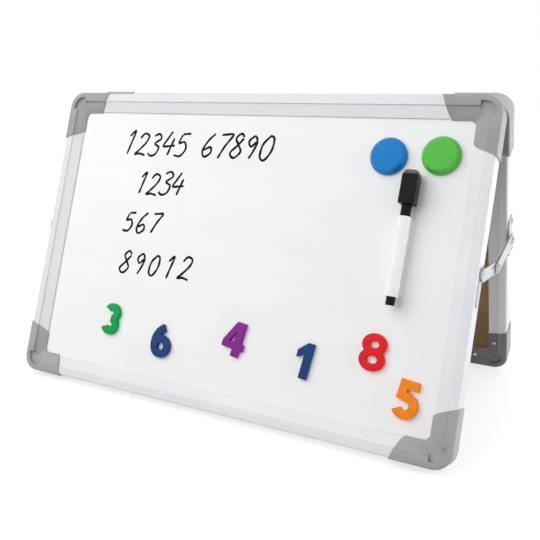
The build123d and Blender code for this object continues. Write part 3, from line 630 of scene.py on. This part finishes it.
def marker():
    """Neck with its spigot and nose, barrel and end plug."""
    spigot_foot = -neck_length - spigot_length
    neck = [(0, spigot_foot), (spigot_radius - spigot_chamfer, spigot_foot),
            (spigot_radius, spigot_foot + spigot_chamfer), (spigot_radius, -neck_length)]
    neck += ribbed(neck_radius, -neck_length, 0)
    neck += [(spigot_radius, 0), (spigot_radius, spigot_length - spigot_chamfer),
             (spigot_radius - spigot_chamfer, spigot_length), (nose_root_radius, spigot_length),
             (nose_tip_radius, nose_end), (nib_hole_radius, nose_end),
             (nib_hole_radius, nose_end - nib_hole_depth), (0, nose_end - nib_hole_depth)]
    marker_piece("marker_ribbed_neck", neck, black_plastic, "marker", "black_plastic", "marker_neck")
    foot = -neck_length - barrel_length
    corners = [(0, foot), (barrel_radius, foot), (barrel_radius, -neck_length - barrel_shoulder),
               (barrel_mouth_radius, -neck_length), (0, -neck_length)]
    barrel = rounded(corners, barrel_corner_radii, steps=7)
    marker_piece("marker_tube", barrel, white_plastic, "marker", "white_plastic", "marker_barrel")
    tail = [(0, foot - tail_length), (tail_end_radius, foot - tail_length)]
    tail += ribbed(tail_radius, foot - tail_length, foot)
    tail += [(tail_plug_radius, foot + tail_plug_length), (0, foot + tail_plug_length)]
    marker_piece("marker_end_plug", tail, black_plastic, "marker", "black_plastic", "marker_tail")


marker_cap()
marker_eraser()
marker()

# ---------------------------------------------------------------------------
# Handwritten numerals in dry-wipe ink
# ---------------------------------------------------------------------------
# strokes in a cell one unit high, drawn in writing order
pen_strokes = {
    "0": [[(0.30, 1.0), (0.06, 0.62), (0.10, 0.12), (0.34, 0.0), (0.52, 0.40), (0.46, 0.86),
           (0.27, 0.99)]],
    "1": [[(0.12, 0.76), (0.34, 1.0), (0.31, 0.5), (0.27, 0.0)]],
    "2": [[(0.05, 0.76), (0.22, 0.98), (0.48, 0.88), (0.44, 0.58), (0.20, 0.24), (0.03, 0.03),
           (0.28, 0.07), (0.60, 0.0)]],
    "3": [[(0.08, 0.90), (0.32, 1.0), (0.49, 0.80), (0.24, 0.56), (0.50, 0.40), (0.44, 0.08),
           (0.20, 0.0), (0.02, 0.12)]],
    "4": [[(0.28, 1.0), (0.14, 0.66), (0.04, 0.38), (0.30, 0.38), (0.60, 0.42)],
          [(0.47, 0.72), (0.42, 0.36), (0.38, 0.0)]],
    "5": [[(0.16, 0.92), (0.11, 0.58), (0.36, 0.62), (0.52, 0.34), (0.36, 0.04), (0.03, 0.06)],
          [(0.16, 0.94), (0.54, 0.98)]],
    "6": [[(0.42, 1.0), (0.17, 0.66), (0.06, 0.24), (0.24, 0.0), (0.48, 0.18), (0.38, 0.42),
           (0.10, 0.28)]],
    "7": [[(0.04, 0.93), (0.30, 0.96), (0.56, 0.95), (0.36, 0.52), (0.20, 0.0)]],
    "8": [[(0.47, 0.86), (0.28, 1.0), (0.11, 0.80), (0.30, 0.55), (0.50, 0.26), (0.28, 0.0),
           (0.05, 0.20), (0.28, 0.52), (0.46, 0.82)]],
    "9": [[(0.47, 0.78), (0.28, 0.97), (0.08, 0.74), (0.24, 0.52), (0.47, 0.74), (0.43, 0.36),
           (0.32, 0.0)]],
}
# text, left end, baseline below the board's top, height, pitch, rise over the row
ink_rows = [
    ("12345 67890", -153.0, 63.5, 24.0, 16.2, 2.5),
    ("1234", -128.0, 104.0, 23.0, 14.6, 2.0),
    ("567", -136.0, 144.0, 21.0, 16.5, 1.0),
    ("89012", -132.0, 186.0, 22.0, 18.4, 1.5),
]


def smooth_path(points, steps=9):
    """Catmull-Rom curve through the points: each span blends its four nearest points.

    At share t between two points a cubic in t keeps the curve's slope at each of them parallel
    to the line between that point's neighbours.
    """
    points = np.array(points, dtype=float)
    padded = np.concatenate([2 * points[:1] - points[1:2], points, 2 * points[-1:] - points[-2:-1]])
    before, start, end, after = (padded[offset:len(padded) - 3 + offset, None] for offset in range(4))
    share = np.linspace(0, 1, steps, endpoint=False)[:, None]
    spans = 0.5 * (2 * start + (end - before) * share
                   + (2 * before - 5 * start + 4 * end - after) * share ** 2
                   + (3 * start - before - 3 * end + after) * share ** 3)
    return np.concatenate([spans.reshape(-1, 2), points[-1:]])


def ribbon(path):
    """Low ridge of ink along a path with round ends, as points and faces.

    The half width w wavers a little along the path, and at a distance d from an end, up to w,
    it is w sqrt(1 - (1 - d / w)^2).
    """
    lengths = np.linalg.norm(np.diff(path, axis=0), axis=1)
    travel = np.concatenate([[0], np.cumsum(lengths)])
    total = travel[-1]
    stops = np.concatenate([ink_end_stops,
                            np.arange(ink_margins[0], total - ink_margins[1], ink_stop_spacing),
                            total - ink_end_stops[::-1]])
    centre = np.stack([np.interp(stops, travel, values) for values in path.T], axis=-1)
    slope = np.gradient(centre, axis=0)
    slope /= np.linalg.norm(slope, axis=1)[:, None]
    side = np.stack([-slope[:, 1], slope[:, 0]], axis=-1)
    half_width = ink_width / 2
    reach = half_width * (1 + ink_waver_share * np.sin(stops * ink_waver_rate + path[0, 0]))
    from_end = np.clip(np.minimum(stops, total - stops) / half_width, 0, 1)
    reach = reach * np.sqrt(np.clip(1 - (1 - from_end) ** 2, ink_end_least, 1))
    lines = [np.column_stack([centre + side * (reach * share)[:, None], np.full(len(stops), height)])
             for share, height in ink_section]
    return lofted(np.stack(lines, axis=1)[:, ::-1])


def ink_row(number, text, left, baseline, height, pitch, rise):
    """One row of handwritten numerals lying on the written face; a space has no strokes."""
    points = np.empty((0, 3))
    faces = []
    for place, digit in enumerate(text):
        wobble = wobble_height * math.sin(place * wobble_rate + number)
        size = height * (1 + size_share * math.sin(place * size_rate + number * 2))
        corner = np.array([left + pitch * place, -baseline + rise * place / len(text) + wobble])
        for stroke in pen_strokes.get(digit, []):
            cell = np.array(stroke) * size
            cell[:, 0] += cell[:, 1] * pen_lean
            stroke_points, stroke_faces = ribbon(smooth_path(cell + corner))
            faces += [[index + len(points) for index in face] for face in stroke_faces]
            points = np.concatenate([points, stroke_points])
    piece = add_piece(f"ink_row_{number}", carried(points, board_frame(0, 0)), faces, black_ink,
                      "front_board", smooth_angle=60.0)


for row_number, row in enumerate(ink_rows, 1):
    ink_row(row_number, *row)

# ---------------------------------------------------------------------------
# Foam figures, corner caps and stay parts: the CAD shape with its edges eased
# ---------------------------------------------------------------------------
def smooth_step(value, low, high):
    """0 below low, 1 above high, and 3 s^2 - 2 s^3 of the share s between them."""
    share = np.clip((value - low) / (high - low), 0, 1)
    return share * share * (3 - 2 * share)


def slide_of(distance):
    """How far outward a point of a cap moves, from its distance in from the frame's edge."""
    return cap_slide * smooth_step(distance, *slide_rise) * (1 - smooth_step(distance, *slide_fall))


def slimmed(points, board):
    """Corner cap whose inner edge is drawn outward, close along the rails' inner edge.

    The rear board is the front one turned half round about z, so its points are turned there.
    """
    facing = 1.0 if board == "front" else -1.0
    turn = np.array([facing, facing, 1.0])
    local = (points * turn - np.array(board_top)) / MM
    right = local[:, 0]
    high = local @ np.array(upward)
    low_end = -high > board_height / 2
    inward = board_width / 2 - np.abs(right)
    upright = np.where(low_end, board_height + high, -high)
    along_x = np.sign(right) * slide_of(inward)
    along_z = np.where(low_end, -1.0, 1.0) * slide_of(upright)
    shifted = along_x[:, None] * np.array(across) + along_z[:, None] * np.array(upward)
    return points + shifted * MM * turn


def eased(node_name, piece_name, material, body, width, segments=2, reshape=None):
    """Copy of a CAD node, merged into one skin, with a small bevel along its sharp edges."""
    work = bmesh.new()
    work.from_mesh(frame["nodes"][node_name].data)
    bmesh.ops.remove_doubles(work, verts=work.verts, dist=weld_distance * MM)
    bmesh.ops.dissolve_limit(work, angle_limit=flat_angle, verts=work.verts, edges=work.edges)
    mesh = bpy.data.meshes.new(piece_name)
    work.to_mesh(mesh)
    work.free()
    if reshape:
        spots = np.empty(len(mesh.vertices) * 3)
        mesh.vertices.foreach_get("co", spots)
        board = node_name.split("_")[0]
        mesh.vertices.foreach_set("co", reshape(spots.reshape(-1, 3), board).ravel())
    mesh.shade_smooth()
    mesh.materials.clear()
    mesh.materials.append(material)
    piece = shown(piece_name, mesh)
    bevel = piece.modifiers.new("eased_edges", "BEVEL")
    bevel.width = width * MM
    bevel.segments = segments
    bevel.limit_method = "ANGLE"
    bevel.angle_limit = bevel_angle
    bevel.harden_normals = True
    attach(piece, body)
    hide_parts(node_name)


for node_name in sorted(frame["nodes"]):
    first_word = node_name.split("_")[0]
    if node_name.endswith("_figure"):
        eased(node_name, node_name.replace("_figure", "_foam_numeral"), foams[first_word], node_name,
              width=0.45, segments=3)
    elif node_name.endswith("_cap") and node_name != "marker_cap":
        eased(node_name, node_name.replace("_cap", "_moulding"), grey_cap, f"{first_word}_board",
              width=0.3, reshape=slimmed)
    elif node_name.endswith("_link"):
        eased(node_name, node_name.replace("_link", "_strap"), zinc, node_name, width=0.2)
    elif node_name in ("front_stay_plates", "rear_stay_brackets"):
        eased(node_name, f"{first_word}_pressed_plates", zinc, f"{first_word}_board",
              width=0.2)

# ---------------------------------------------------------------------------
# Floor, light and camera
# ---------------------------------------------------------------------------
def seen_directly(tree):
    """1 for camera, glossy and transmission rays, 0 for the rays that light the object."""
    path = tree.nodes.new("ShaderNodeLightPath")
    total = path.outputs["Is Camera Ray"]
    for ray in ("Is Glossy Ray", "Is Transmission Ray"):
        either = tree.nodes.new("ShaderNodeMath")
        either.operation = "MAXIMUM"
        tree.links.new(total, either.inputs[0])
        tree.links.new(path.outputs[ray], either.inputs[1])
        total = either.outputs[0]
    return total


def shadow_floor():
    """Pale floor that keeps a soft shadow.

    Seen directly it is lifted to white, by a level that grows smoothly with the distance from
    the object.
    """
    material = bpy.data.materials.new("studio_floor")
    material.use_nodes = True
    tree = material.node_tree
    tree.nodes.clear()
    output = tree.nodes.new("ShaderNodeOutputMaterial")
    diffuse = tree.nodes.new("ShaderNodeBsdfDiffuse")
    diffuse.inputs["Color"].default_value = (floor_tone, floor_tone, floor_tone, 1)
    glow = tree.nodes.new("ShaderNodeEmission")
    place = tree.nodes.new("ShaderNodeTexCoord")
    away = tree.nodes.new("ShaderNodeVectorMath")
    away.operation = "LENGTH"
    floor_lift = tree.nodes.new("ShaderNodeMapRange")
    floor_lift.interpolation_type = "SMOOTHSTEP"
    limits = zip(("From Min", "From Max", "To Min", "To Max"), floor_lift_distances + floor_lift_levels)
    for socket, value in limits:
        floor_lift.inputs[socket].default_value = value
    level = tree.nodes.new("ShaderNodeMath")
    level.operation = "MULTIPLY"
    total = tree.nodes.new("ShaderNodeAddShader")
    link = tree.links.new
    link(place.outputs["Object"], away.inputs[0])
    link(away.outputs["Value"], floor_lift.inputs["Value"])
    link(seen_directly(tree), level.inputs[0])
    link(floor_lift.outputs["Result"], level.inputs[1])
    link(level.outputs[0], glow.inputs["Strength"])
    link(diffuse.outputs[0], total.inputs[0])
    link(glow.outputs[0], total.inputs[1])
    link(total.outputs[0], output.inputs["Surface"])
    mesh = bpy.data.meshes.new("studio_floor")
    corners = [(-floor_reach, -floor_reach, 0), (floor_reach, -floor_reach, 0),
               (floor_reach, floor_reach, 0), (-floor_reach, floor_reach, 0)]
    mesh.from_pydata(corners, [], [(0, 1, 2, 3)])
    mesh.materials.append(material)
    floor = shown("studio_floor", mesh)


def studio_world():
    """Even surround that the camera and glossy surfaces see as white."""
    world = bpy.data.worlds.new("studio")
    bpy.context.scene.world = world
    world.use_nodes = True
    tree = world.node_tree
    background = tree.nodes["Background"]
    background.inputs["Color"].default_value = (1, 1, 1, 1)
    level = tree.nodes.new("ShaderNodeMapRange")
    level.inputs["To Min"].default_value = surround_light
    level.inputs["To Max"].default_value = 1.0
    tree.links.new(seen_directly(tree), level.inputs["Value"])
    tree.links.new(level.outputs["Result"], background.inputs["Strength"])


def softbox(name, place, target, side, power):
    """Square lamp at a place, turned to a target, not mirrored in glossy surfaces."""
    light = bpy.data.lights.new(name, "AREA")
    light.shape = "RECTANGLE"
    light.size = side
    light.size_y = side
    light.energy = power
    lamp = shown(name, light)
    lamp.location = place
    aim = Vector(target) - Vector(place)
    lamp.rotation_mode = "QUATERNION"
    lamp.rotation_quaternion = aim.to_track_quat("-Z", "Y")
    lamp.visible_glossy = False


def camera():
    """Camera in front of the right-hand side, looking slightly down along the board."""
    ahead = Vector((-math.sin(camera_yaw) * math.cos(camera_pitch),
                    math.cos(camera_yaw) * math.cos(camera_pitch), -math.sin(camera_pitch)))
    level = Vector((math.cos(camera_yaw), math.sin(camera_yaw), 0))
    over = level.cross(ahead)
    right = math.cos(camera_roll) * level + math.sin(camera_roll) * over
    up = -math.sin(camera_roll) * level + math.cos(camera_roll) * over
    data = bpy.data.cameras.new("camera")
    data.sensor_width = camera_sensor
    data.sensor_fit = "HORIZONTAL"
    data.lens = camera_lens
    data.clip_start = camera_near
    matrix = Matrix((right, up, -ahead)).transposed().to_4x4()
    matrix.translation = Vector(camera_place) * MM
    eye = shown("camera", data)
    eye.matrix_world = matrix
    bpy.context.scene.camera = eye


shadow_floor()
studio_world()
for softbox_row in softboxes:
    softbox(*softbox_row)
camera()
bpy.context.scene.view_settings.view_transform = "Standard"
